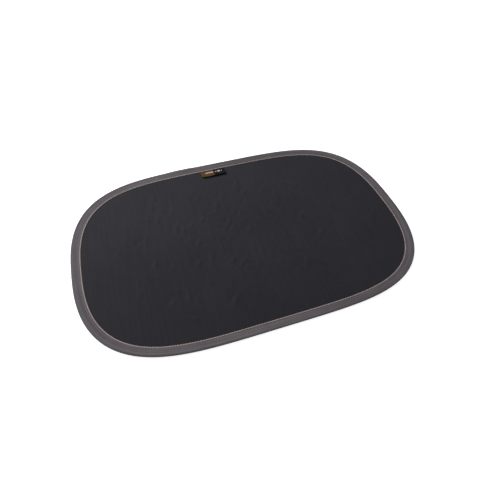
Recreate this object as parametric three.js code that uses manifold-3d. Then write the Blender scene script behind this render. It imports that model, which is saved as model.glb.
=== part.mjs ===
import * as THREE from "three";
import { ParametricGeometry } from "three/addons/geometries/ParametricGeometry.js";
import { mergeVertices } from "three/addons/utils/BufferGeometryUtils.js";
import Module from "manifold-3d";

const wasm = await Module();
wasm.setup();

// A pop-open sunshade for a car's side window: a dark cloth panel, stretched in a sprung wire hoop
// that runs inside a folded cloth binding. It lies on its back, the side that faces the glass.
// Millimetres, +Z up, X along the shade; the origin is on the ground, under its middle.

// Outline of the shade, |x / a| ^ END_POWER + |y / b| ^ SIDE_POWER = 1
const LENGTH = 533.4;
const WIDTH = 355.6;
const END_POWER = 4.18;
const SIDE_POWER = 2.6;
const STATIONS = 104; // places around the outline where the binding's section is set

// Binding: one tape folded round the wire and the panel's edge
const BINDING_WIDTH = 14.6;
const BEAD_WIDTH = 6; // the room for the wire, up to the panel's edge
const SEAM_FLAT = 1.2; // flat tape outside the seam, from where it rises towards the wire
const TAPE_THICKNESS = 0.6; // each side, with its edge turned in
const SEAT_THICKNESS = 0.5; // tape pressed between the joint of the wire and the ground
const TUNNEL_CLEARANCE = 0.35; // round the wire, and round the sleeve on its joint

// Panel
const PANEL_THICKNESS = 0.4;
const PANEL_EDGE_CLEARANCE = 0.3; // from the panel's cut edge to the end of its slot

// Spring wire and the sleeve over its joint, at the top
const WIRE_DIAMETER = 1.8;
const WIRE_SIDES = 8;
const WIRE_END_GAP = 1;
const SLEEVE_WALL = 0.4;
const SLEEVE_CLEARANCE = 0.25;
const SLEEVE_LENGTH = 24;
const SLEEVE_X = -64;
const SWELL_LENGTH = 18; // from the sleeve's end to where the bead has its usual width again

// Seam: one row of thread on each face, along the binding's inner edge
const SEAM_MARGIN = 1.1; // from the binding's inner edge to the middle of the seam
const THREAD_WIDTH = 0.9;
const THREAD_HEIGHT = 0.3;
const GROOVE_CLEARANCE = 0.3; // beside the thread that is sunk into the underside
const GROOVE_DEPTH = 0.35;

// Label: a woven strip folded to a loop, its ends caught in the seam
const LABEL_X = -9;
const LABEL_WIDTH = 44;
const LABEL_DROP = 18.5; // that shows below the binding
const LABEL_TAB = 6; // that lies under the binding
const LABEL_TAB_THICKNESS = 0.25;
const LABEL_THICKNESS = 0.5;
const LABEL_FOLD = 0.9; // thickness of the rounded fold at its lower edge
const LABEL_CLEARANCE = 0.3; // from its full thickness to the binding's inner edge
const LABEL_ROOM = 16; // length over which the binding closes again beside the label

const wireRadius = WIRE_DIAMETER / 2;
const sleeveHole = wireRadius + SLEEVE_CLEARANCE;
const sleeveRadius = sleeveHole + SLEEVE_WALL;
const coreInset = wireRadius + TUNNEL_CLEARANCE + TAPE_THICKNESS;
const coreHeight = SEAT_THICKNESS + TUNNEL_CLEARANCE + sleeveRadius;
const panelTop = TAPE_THICKNESS + PANEL_THICKNESS;
const tapeTop = panelTop + TAPE_THICKNESS;
const seamInset = BINDING_WIDTH - SEAM_MARGIN;
const flatInset = seamInset - SEAM_FLAT;

// The outer edge of the binding, from the +X end and anticlockwise
class Outline extends THREE.Curve {
  getPoint(t, target = new THREE.Vector3()) {
    const angle = 2 * Math.PI * t;
    const c = Math.cos(angle);
    const s = Math.sin(angle);
    const across = (2 * Math.abs(c)) / LENGTH;
    const up = (2 * Math.abs(s)) / WIDTH;
    let inside = 0;
    let outside = 1 / Math.max(across, up);
    while (outside - inside > 1e-9) {
      const reach = (inside + outside) / 2;
      if ((across * reach) ** END_POWER + (up * reach) ** SIDE_POWER > 1) outside = reach;
      else inside = reach;
    }
    return target.set(c * outside, s * outside, 0);
  }
}

// Direction from a point of the outline straight in across the binding
function inward({ x, y }) {
  const across = Math.abs((2 * x) / LENGTH) ** (END_POWER - 1) * (END_POWER / LENGTH);
  const up = Math.abs((2 * y) / WIDTH) ** (SIDE_POWER - 1) * (SIDE_POWER / WIDTH);
  return new THREE.Vector3(-Math.sign(x) * across, -Math.sign(y) * up, 0).normalize();
}

const outline = new Outline();
outline.arcLengthDivisions = 1000;
const stations = outline
  .getSpacedPoints(STATIONS)
  .slice(0, STATIONS)
  .map((point) => ({ point, inward: inward(point) }));
const pitch = outline.getLength() / STATIONS;

function placed({ point, inward }, inset, height, target = new THREE.Vector3()) {
  return target.copy(point).addScaledVector(inward, inset).setZ(height);
}

// A closed ring round the shade. section gives the points [inset, height] at a station, in the
// order underside, outer edge, top.
function ring(section) {
  const sections = stations.map(section);
  const sides = sections[0].length;
  const surface = (u, v, target) => {
    const i = Math.round((1 - v) * STATIONS) % STATIONS;
    const [inset, height] = sections[i][Math.round(u * sides) % sides];
    placed(stations[i], inset, height, target);
  };
  return new ParametricGeometry(surface, sides, STATIONS);
}

function solid(geometry) {
  const bare = geometry.clone();
  bare.deleteAttribute("normal");
  bare.deleteAttribute("uv");
  const merged = mergeVertices(bare);
  const mesh = new wasm.Mesh({
    numProp: 3,
    vertProperties: merged.attributes.position.array,
    triVerts: new Uint32Array(merged.index.array),
  });
  return new wasm.Manifold(mesh);
}

function surfaceOf(manifold) {
  const { vertProperties, triVerts } = manifold.getMesh();
  return new THREE.BufferGeometry()
    .setAttribute("position", new THREE.BufferAttribute(vertProperties, 3))
    .setIndex(new THREE.BufferAttribute(triVerts, 1));
}

// Points of an arc about the wire's middle; 0 degrees is straight out, 90 is up
function arc(across, up, from, to, steps) {
  return Array.from({ length: steps + 1 }, (_, k) => {
    const angle = THREE.MathUtils.degToRad(from + ((to - from) * k) / steps);
    return [coreInset - across * Math.cos(angle), coreHeight + up * Math.sin(angle)];
  });
}

// 1 along the middle of a stretch of the top edge, falling to 0 beyond its ends
function near(point, x, length, fall) {
  if (point.y < 0) return 0;
  const beyond = (Math.abs(point.x - x) - length / 2) / fall;
  return 1 - THREE.MathUtils.smoothstep(beyond, 0, 1);
}

// Angle at which a straight line to a point leaves the top of an arc about the wire's middle
function leaving(radius, [inset, height]) {
  const across = inset - coreInset;
  const down = coreHeight - height;
  const turn = Math.atan2(down, across) - Math.acos(radius / Math.hypot(across, down));
  return 180 + THREE.MathUtils.radToDeg(turn);
}

// The tape goes round the wire and then straight down to the seam. It is fuller over the sleeve,
// and its upper side thins over the label's tab.
function bindingSection({ point }) {
  const swell = near(point, SLEEVE_X, SLEEVE_LENGTH + 2 * pitch, SWELL_LENGTH);
  const lift = near(point, LABEL_X, LABEL_WIDTH + 2 * pitch, LABEL_ROOM) * LABEL_TAB_THICKNESS;
  const tunnel = TUNNEL_CLEARANCE + THREE.MathUtils.lerp(wireRadius, sleeveRadius, swell);
  const bead = tunnel + TAPE_THICKNESS;
  const groove = THREAD_WIDTH / 2 + GROOVE_CLEARANCE;
  const flatTop = [flatInset, tapeTop];
  const slotTop = [flatInset, panelTop + lift];
  return [
    [BINDING_WIDTH, 0],
    [seamInset + groove, 0],
    [seamInset + groove, GROOVE_DEPTH],
    [seamInset - groove, GROOVE_DEPTH],
    [seamInset - groove, 0],
    ...arc(bead, coreHeight, -90, -30, 2),
    ...arc(bead, bead, 0, leaving(bead, flatTop), 5),
    flatTop,
    [BINDING_WIDTH, tapeTop],
    [BINDING_WIDTH, panelTop + lift],
    slotTop,
    ...arc(tunnel, tunnel, leaving(tunnel, slotTop), -90, 6),
    [BEAD_WIDTH, TAPE_THICKNESS],
    [BINDING_WIDTH, TAPE_THICKNESS],
  ];
}

function round(radius) {
  return arc(radius, radius, 0, 360 - 360 / WIRE_SIDES, WIRE_SIDES - 1);
}

// A box about the wire at its joint, as long as given
function atJoint(length) {
  const station = stations.reduce((best, next) =>
    near(next.point, SLEEVE_X, 0, LENGTH) > near(best.point, SLEEVE_X, 0, LENGTH) ? next : best,
  );
  const across = 4 * (sleeveRadius + pitch);
  const middle = placed(station, coreInset, coreHeight);
  return solid(
    new THREE.BoxGeometry(length, across, across).translate(SLEEVE_X, middle.y, middle.z),
  );
}

function panelGeometry() {
  const inset = BEAD_WIDTH + PANEL_EDGE_CLEARANCE;
  const edge = stations.map((station) => placed(station, inset, 0));
  const shape = new THREE.Shape(edge.map(({ x, y }) => new THREE.Vector2(x, y)));
  const options = { depth: PANEL_THICKNESS, bevelEnabled: false };
  return new THREE.ExtrudeGeometry(shape, options).translate(0, 0, TAPE_THICKNESS);
}

// Rows of thread: a flat side on the tape and a rounded one away from it
function threadSection(base, side) {
  const half = THREAD_WIDTH / 2;
  const steps = 4;
  return Array.from({ length: steps + 1 }, (_, k) => {
    const angle = (Math.PI * k) / steps;
    return [
      seamInset - side * half * Math.cos(angle),
      base + side * THREAD_HEIGHT * Math.sin(angle),
    ];
  });
}

// The label's side view, y and z, drawn along the label's width
function labelGeometry() {
  const edge = WIDTH / 2 - BINDING_WIDTH;
  const fold = LABEL_FOLD / 2;
  const full = edge - LABEL_CLEARANCE;
  const bottom = edge - LABEL_DROP + fold;
  const shape = new THREE.Shape();
  shape.moveTo(edge + LABEL_TAB, panelTop);
  shape.lineTo(edge + LABEL_TAB, panelTop + LABEL_TAB_THICKNESS);
  shape.lineTo(full, panelTop + LABEL_TAB_THICKNESS);
  shape.lineTo(full - LABEL_THICKNESS, panelTop + LABEL_THICKNESS);
  shape.lineTo(bottom + LABEL_FOLD, panelTop + LABEL_THICKNESS);
  shape.absarc(bottom, panelTop + fold, fold, Math.PI / 2, (3 * Math.PI) / 2);
  const options = { depth: LABEL_WIDTH, bevelEnabled: false, curveSegments: 6 };
  const turned = new THREE.Matrix4().makeBasis(
    new THREE.Vector3(0, 1, 0),
    new THREE.Vector3(0, 0, 1),
    new THREE.Vector3(1, 0, 0),
  );
  return new THREE.ExtrudeGeometry(shape, options)
    .applyMatrix4(turned)
    .translate(LABEL_X - LABEL_WIDTH / 2, 0, 0);
}

const sunshade = new THREE.Group();

function add(name, geometry, color, roughness, metalness = 0) {
  geometry.computeVertexNormals();
  const material = new THREE.MeshStandardMaterial({ color, roughness, metalness });
  material.flatShading = true;
  const mesh = new THREE.Mesh(geometry, material);
  mesh.name = name;
  sunshade.add(mesh);
}

const wireRing = solid(ring(() => round(wireRadius)));
const sleeveRing = solid(ring(() => round(sleeveRadius))).subtract(
  solid(ring(() => round(sleeveHole))),
);

add("mesh_panel", panelGeometry(), 0x313035, 0.9);
add("edge_binding", surfaceOf(solid(ring(bindingSection))), 0x5f5b61, 0.85);
add("hoop_wire", surfaceOf(wireRing.subtract(atJoint(WIRE_END_GAP))), 0x8e9094, 0.35, 1);
add("wire_sleeve", surfaceOf(sleeveRing.intersect(atJoint(SLEEVE_LENGTH))), 0xa3a5a8, 0.4, 1);
add("seam_thread_front", surfaceOf(solid(ring(() => threadSection(tapeTop, 1)))), 0xa9785c, 0.7);
add(
  "seam_thread_back",
  surfaceOf(solid(ring(() => threadSection(GROOVE_DEPTH, -1)))),
  0xa9785c,
  0.7,
);
add("woven_label", labelGeometry(), 0x1c1b1d, 0.75);

export default sunshade;
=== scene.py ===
import math
import random

import bmesh
import bpy
from mathutils import Matrix, Vector, noise


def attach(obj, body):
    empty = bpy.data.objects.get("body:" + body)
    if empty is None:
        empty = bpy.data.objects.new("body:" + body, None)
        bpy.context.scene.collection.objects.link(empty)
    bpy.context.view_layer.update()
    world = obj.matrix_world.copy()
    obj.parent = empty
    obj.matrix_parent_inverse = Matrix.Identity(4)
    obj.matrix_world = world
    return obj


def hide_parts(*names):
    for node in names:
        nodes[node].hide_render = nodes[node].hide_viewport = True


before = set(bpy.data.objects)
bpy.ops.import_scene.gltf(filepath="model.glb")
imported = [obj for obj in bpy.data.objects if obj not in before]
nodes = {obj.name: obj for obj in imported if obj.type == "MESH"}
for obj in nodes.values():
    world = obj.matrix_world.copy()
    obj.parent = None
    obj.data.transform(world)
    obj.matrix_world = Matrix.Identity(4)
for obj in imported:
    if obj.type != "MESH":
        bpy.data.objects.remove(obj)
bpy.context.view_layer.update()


# The hoop is one length of round spring steel, hidden inside the border. A crimped steel sleeve
# joins its two ends at the top, beside the label.
def new_material(name):
    material = bpy.data.materials.new(name)
    material.use_nodes = True
    tree = material.node_tree
    return material, tree, tree.nodes["Principled BSDF"]


def add_node(tree, kind, inputs=(), **settings):
    node = tree.nodes.new(kind)
    for key, value in settings.items():
        setattr(node, key, value)
    for key, value in dict(inputs).items():
        if isinstance(value, bpy.types.NodeSocket):
            tree.links.new(value, node.inputs[key])
        else:
            node.inputs[key].default_value = value
    return node


def add_math(tree, operation, *values):
    return add_node(tree, "ShaderNodeMath", enumerate(values), operation=operation).outputs[0]


def add_range(tree, value, low, high, from_low=0.0, from_high=1.0):
    inputs = {"Value": value, "To Min": low, "To Max": high, "From Min": from_low, "From Max": from_high}
    return add_node(tree, "ShaderNodeMapRange", inputs).outputs["Result"]


def add_noise(tree, place, scale, detail=3.0):
    inputs = {"Vector": place, "Scale": scale, "Detail": detail}
    return add_node(tree, "ShaderNodeTexNoise", inputs).outputs["Fac"]


def add_ramp(tree, value, stops):
    ramp = add_node(tree, "ShaderNodeValToRGB", {"Fac": value})
    elements = ramp.color_ramp.elements
    while len(elements) < len(stops):
        elements.new(0.5)
    for element, (position, color) in zip(elements, stops):
        element.position = position
        element.color = (*color, 1)
    return ramp.outputs["Color"]


def add_bump(tree, shader, height, distance, under=None):
    bump = add_node(tree, "ShaderNodeBump", {"Height": height, "Distance": distance})
    if under is not None:
        tree.links.new(under, bump.inputs["Normal"])
    tree.links.new(bump.outputs["Normal"], shader.inputs["Normal"])
    return bump.outputs["Normal"]


def steel(name, dark, bright, roughness, scratch_scale):
    material, tree, shader = new_material(name)
    place = add_node(tree, "ShaderNodeTexCoord").outputs["Object"]
    grain = add_noise(tree, place, scratch_scale, 5.0)
    color = add_ramp(tree, grain, [(0.35, dark), (0.65, bright)])
    tree.links.new(color, shader.inputs["Base Color"])
    rough = add_range(tree, grain, roughness - 0.08, roughness + 0.1)
    tree.links.new(rough, shader.inputs["Roughness"])
    shader.inputs["Metallic"].default_value = 1.0
    add_bump(tree, shader, grain, 0.00005)
    return material


def repaint(node, material):
    nodes[node].data.materials.clear()
    nodes[node].data.materials.append(material)


repaint("hoop_wire", steel("drawn_steel", (0.38, 0.38, 0.4), (0.56, 0.56, 0.58), 0.32, 900))
repaint("wire_sleeve", steel("crimped_steel", (0.5, 0.5, 0.49), (0.66, 0.66, 0.64), 0.4, 500))


# The panel is dark warp-knitted polyester, cut to the inside of the border and held taut by the
# hoop. Being folded up with it has left small faint creases.
LENGTH = 0.5334
WIDTH = 0.3556
END_POWER = 4.18
SIDE_POWER = 2.6
PANEL_INSET = 0.0063
PANEL_BOTTOM = 0.00065
PANEL_THICKNESS = 0.0003
PANEL_CELL = 0.0021
DEEPEST_HOLLOW = 0.0005
SEAM_INSET = 0.0135


def reach(direction):
    """How far the shade's outer edge is from its middle in a direction."""
    across = abs(direction.x) * 2 / LENGTH
    up = abs(direction.y) * 2 / WIDTH
    inside, outside = 0.0, 1 / max(across, up)
    while outside - inside > 1e-8:
        middle = (inside + outside) / 2
        if (across * middle) ** END_POWER + (up * middle) ** SIDE_POWER > 1:
            outside = middle
        else:
            inside = middle
    return outside


def inward(point):
    """The direction straight in across the border, at a point of the outer edge."""
    across = abs(point.x * 2 / LENGTH) ** (END_POWER - 1) * END_POWER / LENGTH
    up = abs(point.y * 2 / WIDTH) ** (SIDE_POWER - 1) * SIDE_POWER / WIDTH
    return -Vector((math.copysign(across, point.x), math.copysign(up, point.y), 0)).normalized()


def depth_inside(point):
    """How far a point is inside the outer edge, measured straight across the border."""
    if point.length < WIDTH / 4:
        return WIDTH / 4
    radial = point.normalized()
    edge = radial * reach(radial)
    return (edge.length - point.length) * -radial.dot(inward(edge))


def finish_mesh(bm, name, material):
    for face in bm.faces:
        face.smooth = True
    mesh = bpy.data.meshes.new(name)
    bm.to_mesh(mesh)
    bm.free()
    mesh.materials.append(material)
    piece = bpy.data.objects.new(name, mesh)
    bpy.context.collection.objects.link(piece)
    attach(piece, "root")
    return piece


def crease(point, middle, angle, length, depth):
    """Height of one short crease, a soft ridge with a shallow hollow beside it."""
    away = point - Vector(middle).to_3d()
    along = away.x * math.cos(angle) + away.y * math.sin(angle)
    across = away.y * math.cos(angle) - away.x * math.sin(angle)
    across += 0.003 * noise.noise(point * 30)
    ridge = math.exp(-((across / 0.003) ** 2)) - 0.6 * math.exp(-(((across - 0.006) / 0.005) ** 2))
    return depth * ridge * math.exp(-((along / length) ** 2))


def make_creases(count):
    """Short creases scattered over the panel, most of them about its middle."""
    rng = random.Random(11)
    creases = []
    for _ in range(count):
        middle = (rng.gauss(-0.01, 0.12), rng.gauss(0.0, 0.065))
        angle = math.radians(rng.choice((62, 84, 96, 118)) + rng.uniform(-14, 14))
        creases.append((middle, angle, rng.uniform(0.004, 0.012), rng.uniform(0.0004, 0.0013)))
    return creases


def panel_height(point, inside, creases):
    loose = min(1.0, max(0.0, (inside - SEAM_INSET) / 0.025))
    height = 0.0004 * noise.noise(point * 8) + 0.00012 * noise.noise(point * 40)
    for middle, angle, length, depth in creases:
        if (point.xy - Vector(middle)).length < 3 * length:
            height += crease(point, middle, angle, length, depth)
    return max(-DEEPEST_HOLLOW, height * loose * loose * (3 - 2 * loose))


def add_wave(tree, place, direction, scale, distortion, detail=1.0, detail_scale=1.0):
    inputs = {"Vector": place, "Scale": scale, "Distortion": distortion}
    inputs.update({"Detail": detail, "Detail Scale": detail_scale})
    return add_node(tree, "ShaderNodeTexWave", inputs, bands_direction=direction).outputs["Fac"]


def add_mapping(tree, place, scale, turn=0.0):
    inputs = {"Vector": place, "Scale": scale, "Rotation": (0, 0, turn)}
    return add_node(tree, "ShaderNodeMapping", inputs).outputs["Vector"]


def add_blend(tree, *parts):
    """The sum of some values, each times its own share."""
    total = 0.0
    for value, share in parts:
        total = add_math(tree, "MULTIPLY_ADD", value, share, total)
    return total


def add_base_color(tree, shader, color, factor):
    """Gives the shader a colour, made darker or lighter by a factor."""
    shaded = add_node(tree, "ShaderNodeVectorMath", {0: color, "Scale": factor}, operation="SCALE")
    tree.links.new(shaded.outputs["Vector"], shader.inputs["Base Color"])


def knitted_cloth():
    material, tree, shader = new_material("charcoal_knit")
    place = add_node(tree, "ShaderNodeTexCoord").outputs["Object"]
    patches = add_noise(tree, place, 9.0)
    fibres = add_noise(tree, place, 1400.0, 4.0)
    streaks = add_noise(tree, add_mapping(tree, place, (260.0, 14.0, 1.0)), 1.0, 2.0)
    crinkles = add_noise(tree, place, 120.0, 2.0)
    mixed = add_blend(tree, (fibres, 0.35), (streaks, 0.3), (patches, 0.35))
    stops = [(0.34, (0.0172, 0.0162, 0.0220)), (0.66, (0.0290, 0.0272, 0.0366))]
    wales = add_wave(tree, place, "X", 250.0, 1.2, detail=2.0)
    courses = add_wave(tree, place, "Y", 190.0, 0.8)
    knit_and_shade = add_math(tree, "MULTIPLY", wales, courses)
    # The knit's bump also darkens the colour where it is low: painted shade in the knit's hollows.
    add_base_color(tree, shader, add_ramp(tree, mixed, stops), add_range(tree, knit_and_shade, 0.78, 1.1))
    shader.inputs["Roughness"].default_value = 0.85
    shader.inputs["Specular IOR Level"].default_value = 0.2
    shader.inputs["Sheen Weight"].default_value = 0.1
    shader.inputs["Sheen Roughness"].default_value = 0.5
    stitches = add_bump(tree, shader, knit_and_shade, 0.0001)
    crinkled = add_bump(tree, shader, crinkles, 0.0004, stitches)
    add_bump(tree, shader, fibres, 0.00004, crinkled)
    return material


def make_panel():
    bm = bmesh.new()
    across, up = round(LENGTH / PANEL_CELL), round(WIDTH / PANEL_CELL)
    size = Matrix.Diagonal((LENGTH / 2, WIDTH / 2, 1))
    bmesh.ops.create_grid(bm, x_segments=across, y_segments=up, size=1, matrix=size.to_4x4())
    inside = {vert: depth_inside(vert.co) for vert in bm.verts}
    outer = [vert for vert in bm.verts if inside[vert] < PANEL_INSET - PANEL_CELL / 2]
    bmesh.ops.delete(bm, geom=outer, context="VERTS")
    for vert in bm.verts:
        if any(edge.is_boundary for edge in vert.link_edges):
            radial = vert.co.normalized()
            edge = radial * reach(radial)
            vert.co += inward(edge) * (PANEL_INSET - inside[vert])
    area = sum(face.calc_area() for face in bm.faces)
    creases = make_creases(150)
    for vert in bm.verts:
        flat = vert.co.copy()
        vert.co.z = PANEL_BOTTOM + panel_height(flat, inside[vert], creases)
    panel = finish_mesh(bm, "panel_cloth", knitted_cloth())
    wall = panel.modifiers.new("thickness", "SOLIDIFY")
    wall.thickness = PANEL_THICKNESS
    wall.offset = 1
    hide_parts("mesh_panel")


make_panel()


# The border is one grey polyester tape, folded lengthwise round the wire and the panel's edge with
# its own edges turned in, and sewn down along its inner edge, where it puckers a little.
BORDER_WIDTH = 0.0146
BEAD_WIDTH = 0.006
FLAT_INSET = 0.0123
TAPE_THICKNESS = 0.0006
PANEL_TOP = 0.001
TAPE_TOP = 0.0016
CORE_INSET = 0.00185
CORE_HEIGHT = 0.0024
TUNNEL = 0.00125
JOINT_TUNNEL = 0.0019
JOINT_X = -0.064
JOINT_LENGTH = 0.024
JOINT_EASE = 0.018
LABEL_X = -0.009
LABEL_WIDTH = 0.044
LABEL_EASE = 0.010
LABEL_RISE = 0.00022
EDGE_WANDER = 0.00025
SEAM_DIP = 0.00016
SEAM_DIP_SWING = 0.00008
TAPE_SAG = 0.05
STITCHES = 396
STEPS_PER_STITCH = 4


def outline(count):
    """Points evenly spaced round the outer edge, each with its direction inwards, and their spacing."""
    fine = 4000
    turns = [2 * math.pi * k / fine for k in range(fine + 1)]
    rays = [Vector((math.cos(turn), math.sin(turn), 0)) for turn in turns]
    points = [ray * reach(ray) for ray in rays]
    along = [0.0]
    for a, b in zip(points, points[1:]):
        along.append(along[-1] + (b - a).length)
    stations, k = [], 0
    for i in range(count):
        target = along[-1] * i / count
        while along[k + 1] < target:
            k += 1
        share = (target - along[k]) / (along[k + 1] - along[k])
        point = points[k].lerp(points[k + 1], share)
        stations.append((point, inward(point)))
    return stations, along[-1] / count


def near(point, x, length, fall):
    """1 along a stretch of the top edge, falling smoothly to 0 beyond its ends."""
    if point.y < 0:
        return 0.0
    beyond = min(1.0, max(0.0, (abs(point.x - x) - length / 2) / fall))
    return 1 - beyond * beyond * (3 - 2 * beyond)


def arc(middle, across, up, start, end, steps):
    """Points of an arc in a section; 0 degrees is back along its first axis, 90 is up."""
    points = []
    for k in range(steps + 1):
        angle = math.radians(start + (end - start) * k / steps)
        points.append((middle[0] - across * math.cos(angle), middle[1] + up * math.sin(angle)))
    return points


def leaving(radius, inset, height):
    """Angle at which a straight line to a point leaves the top of an arc round the wire."""
    across, down = inset - CORE_INSET, CORE_HEIGHT - height
    turn = math.atan2(down, across) - math.acos(radius / math.hypot(across, down))
    return 180 + math.degrees(turn)


def pucker(along, inset, bend):
    """How far the tape's upper side stands off its smooth form, most of all near the seam."""
    near_seam = math.exp(-(((SEAM_INSET - inset) / 0.006) ** 2))
    swing = 0.5 + noise.noise(Vector((along * 70, 3.0, 0)))
    gather = math.cos(math.pi * STITCHES * along + 40 * inset / SEAM_INSET + 2 * swing)
    eased = 0.35 + 0.65 * min(1.0, bend / 9)
    soft = noise.noise(Vector((along * 230, inset * 90, 2.0)))
    ripple = noise.noise(Vector((along * 60, inset * 500, 9.0)))
    return 0.00009 * near_seam * eased * swing * gather + 0.00022 * eased * soft + 0.00008 * ripple


def tape_section(point, along, bend):
    """The folded tape's outline at one place along it: [distance in from the outer edge, height]."""
    core = (CORE_INSET, CORE_HEIGHT)
    swell = near(point, JOINT_X, JOINT_LENGTH, JOINT_EASE)
    tunnel = TUNNEL + (JOINT_TUNNEL - TUNNEL) * swell
    bead = tunnel + TAPE_THICKNESS
    lift = LABEL_RISE * near(point, LABEL_X, LABEL_WIDTH, LABEL_EASE)
    top = TAPE_TOP + lift
    dip = SEAM_DIP + SEAM_DIP_SWING * math.cos(2 * math.pi * along * STITCHES)
    wide = BORDER_WIDTH + EDGE_WANDER * noise.noise(Vector((along * 90, 5.0, 0)))
    # The underside: its turned-in edge, the back seam's dent, then flat on the ground to the wire.
    under = [
        (wide, 0.00035),
        (wide - 0.00025, 0.00005),
        (SEAM_INSET + 0.0004, 0.00005),
        (SEAM_INSET, 0.00035),
        (SEAM_INSET - 0.0006, 0.00003),
        (0.0115, 0.0),
        (0.009, 0.0),
        (0.0065, 0.0),
        (0.004, 0.0),
        *arc(core, bead, CORE_HEIGHT, -90, -15, 5),
    ]
    round_wire = arc(core, bead, bead, 0, leaving(bead, FLAT_INSET, top), 7)
    crown, crown_top = round_wire[-1]
    # The upper side: down from the wire to the seam, the seam's dent, and its turned-in edge.
    over = []
    for share in (0.1, 0.24, 0.38, 0.52, 0.66, 0.79, 0.9):
        over.append((crown + (FLAT_INSET - crown) * share, crown_top + (top - crown_top) * share))
    over += [
        (FLAT_INSET, top + 0.00005),
        (SEAM_INSET - 0.0007, top + 0.00004),
        (SEAM_INSET - 0.0003, top - dip / 2),
        (SEAM_INSET, top - dip),
        (SEAM_INSET + 0.0004, top - dip / 3),
        (wide - 0.00035, top + 0.00002),
        (wide - 0.00008, top - 0.00013),
    ]
    slack = crown_top - top
    draped = []
    for inset, height in over:
        share = min(1.0, (inset - crown) / (FLAT_INSET - crown))
        sag = TAPE_SAG * slack * math.sin(math.pi * share)
        draped.append((inset, height - sag + share * pucker(along, inset, bend)))
    # The inside: a slot for the panel, and the wire's tunnel.
    inside = [
        (wide, PANEL_TOP + 0.0002),
        (wide - 0.0003, PANEL_TOP),
        (FLAT_INSET, PANEL_TOP + lift),
        *arc(core, tunnel, tunnel, leaving(tunnel, FLAT_INSET, PANEL_TOP + lift), -90, 6),
        (BEAD_WIDTH, TAPE_THICKNESS),
        (wide - 0.0003, TAPE_THICKNESS),
    ]
    return under + round_wire + draped + inside


def tape_cloth():
    material, tree, shader = new_material("grey_tape")
    uv = add_node(tree, "ShaderNodeUVMap", uv_map="UVMap").outputs["UV"]
    streaks = add_noise(tree, add_mapping(tree, uv, (12.0, 900.0, 1.0)), 1.0, 2.0)
    broad = add_noise(tree, add_mapping(tree, uv, (5.0, 260.0, 1.0)), 1.0, 1.0)
    patches = add_noise(tree, uv, 45.0)
    mixed = add_blend(tree, (streaks, 0.35), (broad, 0.45), (patches, 0.2))
    stops = [(0.36, (0.092, 0.079, 0.093)), (0.5, (0.127, 0.112, 0.127)), (0.64, (0.163, 0.151, 0.160))]
    ribs = add_wave(tree, uv, "Y", 330.0, 0.6)
    picks = add_wave(tree, uv, "X", 520.0, 0.5)
    drag = add_wave(tree, uv, "DIAGONAL", 200.0, 1.5, detail_scale=0.6)
    weave_and_shade = add_math(tree, "MULTIPLY", ribs, picks)
    # The weave's bump also darkens the colour where it is low: painted shade between the yarns.
    add_base_color(tree, shader, add_ramp(tree, mixed, stops), add_range(tree, weave_and_shade, 0.84, 1.08))
    shader.inputs["Roughness"].default_value = 0.75
    shader.inputs["Specular IOR Level"].default_value = 0.3
    shader.inputs["Sheen Weight"].default_value = 0.15
    shader.inputs["Sheen Roughness"].default_value = 0.4
    woven = add_bump(tree, shader, weave_and_shade, 0.00008)
    streaked = add_bump(tree, shader, streaks, 0.00012, woven)
    add_bump(tree, shader, drag, 0.00018, streaked)
    return material


def make_border():
    count = STITCHES * STEPS_PER_STITCH
    stations, pitch = outline(count)
    sections = []
    for i in range(count):
        turn = stations[(i + 1) % count][1] - stations[i - 1][1]
        sections.append(tape_section(stations[i][0], i / count, turn.length / (2 * pitch)))
    sides = len(sections[0])
    across = [0.0]
    for a, b in zip(sections[0], sections[0][1:] + sections[0][:1]):
        across.append(across[-1] + math.dist(a, b))
    bm = bmesh.new()
    uv = bm.loops.layers.uv.new("UVMap")
    corner = Matrix.Translation((0.5, 0.5, 0))
    bmesh.ops.create_grid(bm, x_segments=count, y_segments=sides, size=0.5, matrix=corner, calc_uvs=True)
    for face in bm.faces:
        for loop in face.loops:
            i, k = round(loop.vert.co.x * count), round(loop.vert.co.y * sides)
            loop[uv].uv = (i * pitch, across[k])
    for vert in bm.verts:
        i, k = round(vert.co.x * count) % count, round(vert.co.y * sides) % sides
        point, toward = stations[i]
        inset, height = sections[i][k]
        vert.co = point + toward * inset + Vector((0, 0, height))
    bmesh.ops.remove_doubles(bm, verts=bm.verts, dist=1e-7)
    bmesh.ops.recalc_face_normals(bm, faces=bm.faces)
    border = finish_mesh(bm, "border_tape", tape_cloth())
    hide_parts("edge_binding")


make_border()


# The seam is a row of lockstitches in thick, pale orange brown thread, along the border's inner
# edge, through both sides of the tape and the panel. The same row shows on the back.
THREAD_WIDTH = 0.00115
STITCH_FILL = 0.93
FRONT_SEAM = TAPE_TOP + 0.00002
FRONT_RISE = 0.00038
BACK_SEAM = 0.00038
BACK_RISE = 0.0003


def twisted_thread():
    material, tree, shader = new_material("orange_thread")
    uv = add_node(tree, "ShaderNodeUVMap", uv_map="UVMap").outputs["UV"]
    turned = add_mapping(tree, uv, (1.0, 0.6, 1.0), math.radians(38))
    twist_and_shade = add_wave(tree, turned, "X", 3.2, 0.3, detail=2.0)
    # The twist's bump also sets the colour, darker in the grooves between the plies: painted shade.
    color = add_ramp(tree, twist_and_shade, [(0.1, (0.46, 0.32, 0.265)), (0.7, (0.80, 0.63, 0.55))])
    tree.links.new(color, shader.inputs["Base Color"])
    shader.inputs["Roughness"].default_value = 0.55
    shader.inputs["Sheen Weight"].default_value = 0.2
    add_bump(tree, shader, twist_and_shade, 0.0001)
    return material


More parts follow.
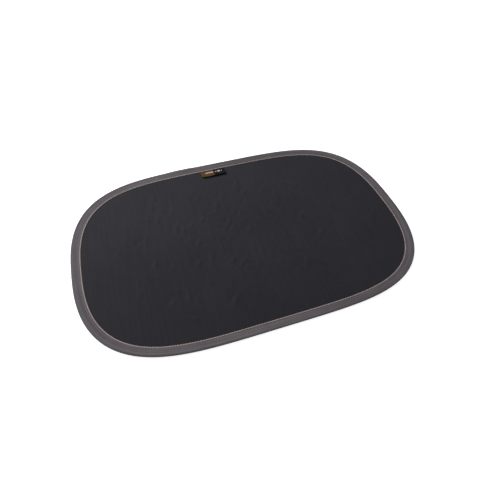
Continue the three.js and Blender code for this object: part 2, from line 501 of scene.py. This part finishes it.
def one_stitch():
    """One length of thread between two needle holes, along X, 2 long, 2 wide and 2 high."""
    bm = bmesh.new()
    bm.loops.layers.uv.new("UVMap")
    lying = Matrix.Rotation(math.pi / 2, 4, "Y")
    bmesh.ops.create_uvsphere(bm, u_segments=8, v_segments=7, radius=1, matrix=lying, calc_uvs=True)
    for vert in bm.verts:
        vert.co.x = math.copysign(abs(vert.co.x) ** 0.65, vert.co.x)
    stitch = bpy.data.meshes.new("one_stitch")
    bm.to_mesh(stitch)
    bm.free()
    return stitch


def make_seam(name, node, height, rise, material):
    """A row of stitches; rise is how far each stands out of the tape."""
    stations, pitch = outline(STITCHES)
    rng = random.Random(5)
    stitch = one_stitch()
    bm = bmesh.new()
    for i, (point, toward) in enumerate(stations):
        after, toward_after = stations[(i + 1) % STITCHES]
        start = point + toward * SEAM_INSET
        end = after + toward_after * SEAM_INSET
        middle = (start + end) / 2 + Vector((0, 0, height))
        run = (end - start).length * STITCH_FILL * rng.uniform(0.97, 1.03)
        angle = math.atan2(end.y - start.y, end.x - start.x) + math.radians(rng.uniform(4, 8))
        size = Matrix.Diagonal((run / 2, THREAD_WIDTH / 2, rise, 1))
        sewn = stitch.copy()
        sewn.transform(Matrix.Translation(middle) @ Matrix.Rotation(angle, 4, "Z") @ size)
        bm.from_mesh(sewn)
        bpy.data.meshes.remove(sewn)
    bpy.data.meshes.remove(stitch)
    seam = finish_mesh(bm, name, material)
    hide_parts(node)


thread = twisted_thread()
make_seam("stitches_front", "seam_thread_front", FRONT_SEAM, FRONT_RISE, thread)
make_seam("stitches_back", "seam_thread_back", BACK_SEAM, BACK_RISE, thread)


# The label is a woven ribbon folded to a loop, its two ends caught under the border by the seam, so
# that its fold stands a little off the panel. Its front has a plain design of a dark orange field
# with a pale bar, and pale lozenges on black.
LABEL_DROP = 0.0185
LABEL_TAB = 0.0035
LABEL_PLY = 0.00014
LABEL_FOLD = 0.0011
LABEL_OPEN = 0.00175
LABEL_BULGE = 0.0004
LABEL_LIFT = 0.0014
LABEL_LOWEST = PANEL_TOP + 0.00003
LABEL_TOP = WIDTH / 2 - BORDER_WIDTH
ORANGE_WIDTH = 0.0225
MARKS_DROP = 0.0075
LOZENGES = ((0.0270, 0.0018), (0.0325, 0.0034), (0.0380, 0.0016))


def within(tree, value, middle, half):
    """1 where a value is within half of the middle, and 0 elsewhere."""
    return add_math(tree, "COMPARE", value, middle, half)


def ribbon():
    material, tree, shader = new_material("label_ribbon")
    place = add_node(tree, "ShaderNodeTexCoord").outputs["Object"]
    split = add_node(tree, "ShaderNodeSeparateXYZ", {"Vector": place}).outputs
    x, y, z = split["X"], split["Y"], split["Z"]
    left = LABEL_X - LABEL_WIDTH / 2
    row = LABEL_TOP - MARKS_DROP
    down = add_math(tree, "DIVIDE", add_math(tree, "SUBTRACT", LABEL_TOP, y), LABEL_DROP)
    lifted = add_math(tree, "MULTIPLY_ADD", add_math(tree, "MULTIPLY", down, down), LABEL_LIFT, PANEL_TOP)
    front = add_math(tree, "GREATER_THAN", z, add_math(tree, "ADD", lifted, 2 * LABEL_PLY))
    orange = add_math(tree, "LESS_THAN", x, left + ORANGE_WIDTH)
    bar = within(tree, x, left + 0.015, 0.0075)
    marks = add_math(tree, "MULTIPLY", bar, within(tree, y, row, 0.0017))
    away_y = add_math(tree, "ABSOLUTE", add_math(tree, "SUBTRACT", y, row))
    for middle, half in LOZENGES:
        away_x = add_math(tree, "ABSOLUTE", add_math(tree, "SUBTRACT", x, left + middle))
        lozenge = add_math(tree, "LESS_THAN", add_math(tree, "ADD", away_x, away_y), half)
        marks = add_math(tree, "MAXIMUM", marks, lozenge)
    marks = add_math(tree, "MULTIPLY", marks, front)
    orange = add_math(tree, "MULTIPLY", orange, front)
    picks = add_wave(tree, place, "Y", 420.0, 0.4)
    ends = add_wave(tree, place, "X", 620.0, 0.3)
    weave_and_shade = add_math(tree, "MULTIPLY", picks, ends)
    ground = {0: orange, 6: (0.006, 0.006, 0.0075, 1), 7: (0.110, 0.056, 0.016, 1)}
    ground = add_node(tree, "ShaderNodeMix", ground, data_type="RGBA").outputs[2]
    whole = {0: marks, 6: ground, 7: (0.56, 0.51, 0.43, 1)}
    whole = add_node(tree, "ShaderNodeMix", whole, data_type="RGBA").outputs[2]
    # The weave's bump also darkens the colour where it is low: painted shade between the yarns.
    add_base_color(tree, shader, whole, add_range(tree, weave_and_shade, 0.75, 1.1))
    shader.inputs["Roughness"].default_value = 0.7
    shader.inputs["Specular IOR Level"].default_value = 0.15
    woven = add_bump(tree, shader, weave_and_shade, 0.00007)
    add_bump(tree, shader, marks, 0.0001, woven)
    return material



def make_label():
    """The loop's side view, drawn out along the border and then slackened."""
    top = LABEL_TOP + LABEL_TAB
    bottom = LABEL_TOP - LABEL_DROP + LABEL_FOLD
    steps = 16
    lower, upper = [], []
    for k in range(steps + 1):
        share = k / steps
        y = top + (bottom - top) * share
        open_loop = 0.00002 + LABEL_OPEN * max(0.0, (share - 0.18) / 0.82) ** 1.5
        open_loop += LABEL_BULGE * math.sin(math.pi * max(0.0, (share - 0.14) / 0.86) ** 0.8) ** 1.5
        rest = LABEL_LOWEST + LABEL_LIFT * share * share
        lower.append((y, rest))
        upper.append((y, rest + 2 * LABEL_PLY + open_loop))
    fold_middle = (bottom, LABEL_LOWEST + LABEL_LIFT + LABEL_FOLD)
    nose = arc(fold_middle, LABEL_FOLD, LABEL_FOLD, -60, 60, 8)
    outer = lower + nose + upper[::-1]
    inner = [(y, z - LABEL_PLY) for y, z in upper] + [(y, z + LABEL_PLY) for y, z in lower[::-1]]
    profile = outer + inner
    bm = bmesh.new()
    verts = [bm.verts.new((LABEL_X - LABEL_WIDTH / 2, y, z)) for y, z in profile]
    ring = [bm.edges.new((verts[k - 1], verts[k])) for k in range(len(verts))]
    columns = 44
    for i in range(columns):
        grown = bmesh.ops.extrude_edge_only(bm, edges=ring)["geom"]
        moved = [g for g in grown if isinstance(g, bmesh.types.BMVert)]
        bmesh.ops.translate(bm, verts=moved, vec=(LABEL_WIDTH / columns, 0, 0))
        ring = [g for g in grown if isinstance(g, bmesh.types.BMEdge)]
    bmesh.ops.holes_fill(bm, edges=[edge for edge in bm.edges if edge.is_boundary])
    for vert in bm.verts:
        slack = max(0.0, (LABEL_TOP - vert.co.y) / LABEL_DROP)
        curl = 0.0006 * (0.2 + noise.noise(vert.co * 55)) * slack * slack
        corner = abs(vert.co.x - LABEL_X) * 2 / LABEL_WIDTH
        vert.co.z += curl
        vert.co.y += 0.0014 * slack * slack * corner ** 8
        vert.co.x += 0.0006 * slack * noise.noise(Vector((0, vert.co.y * 40, 4)))
    bmesh.ops.recalc_face_normals(bm, faces=bm.faces)
    label = finish_mesh(bm, "label_loop", ribbon())
    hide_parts("woven_label")


make_label()


# A plain white floor, a large soft lamp high behind the shade's left end, a weak one low in front
# of it, and the camera over its front edge.
def white_floor():
    material, tree, shader = new_material("white_floor")
    shader.inputs["Base Color"].default_value = (0.9, 0.9, 0.9, 1)
    shader.inputs["Roughness"].default_value = 0.9
    shader.inputs["Specular IOR Level"].default_value = 0.0
    rays = add_node(tree, "ShaderNodeLightPath").outputs
    seen = add_math(tree, "MAXIMUM", rays["Is Camera Ray"], rays["Is Glossy Ray"])
    glow = add_node(tree, "ShaderNodeEmission", {"Color": (1, 1, 1, 1)})
    tree.links.new(add_math(tree, "MULTIPLY", seen, 0.75), glow.inputs["Strength"])
    total = add_node(tree, "ShaderNodeAddShader")
    tree.links.new(shader.outputs["BSDF"], total.inputs[0])
    tree.links.new(glow.outputs["Emission"], total.inputs[1])
    tree.links.new(total.outputs[0], tree.nodes["Material Output"].inputs["Surface"])
    return material


bpy.ops.mesh.primitive_plane_add(size=12)
floor = bpy.context.object
floor.name = "floor"
floor.location.z = -0.0002
floor.data.materials.append(white_floor())

world = bpy.data.worlds.new("studio")
bpy.context.scene.world = world
world.use_nodes = True
sky = world.node_tree.nodes["Background"]
sky.inputs["Color"].default_value = (1, 1, 1, 1)
watched = add_node(world.node_tree, "ShaderNodeLightPath").outputs["Is Camera Ray"]
strength = add_range(world.node_tree, watched, 0.25, 1.0)
world.node_tree.links.new(strength, sky.inputs["Strength"])


def add_lamp(name, place, size, power):
    lamp = bpy.data.lights.new(name, "AREA")
    lamp.shape = "DISK"
    lamp.size = size
    lamp.energy = power
    holder = bpy.data.objects.new(name, lamp)
    bpy.context.collection.objects.link(holder)
    holder.location = place
    holder.rotation_euler = (-Vector(place)).to_track_quat("-Z", "Y").to_euler()


add_lamp("key_lamp", (-0.5, 0.65, 0.8), 0.7, 11.0)
add_lamp("fill_lamp", (-0.3, -1.1, 0.3), 0.9, 1.8)

CAMERA_PLACE = Vector((-0.1323, -0.3950, 0.4776))
CAMERA_AIM = Vector((-0.0030, -0.0380, 0.0015))
CAMERA_ROLL = 0.0264
lens = bpy.data.cameras.new("camera")
lens.sensor_width = 36
lens.lens = 28.27
lens.clip_start = 0.01
camera = bpy.data.objects.new("camera", lens)
bpy.context.collection.objects.link(camera)
aim = (CAMERA_AIM - CAMERA_PLACE).to_track_quat("-Z", "Y").to_matrix().to_4x4()
camera.matrix_world = Matrix.Translation(CAMERA_PLACE) @ aim @ Matrix.Rotation(CAMERA_ROLL, 4, "Z")
bpy.context.scene.camera = camera
bpy.context.scene.view_settings.view_transform = "Standard"
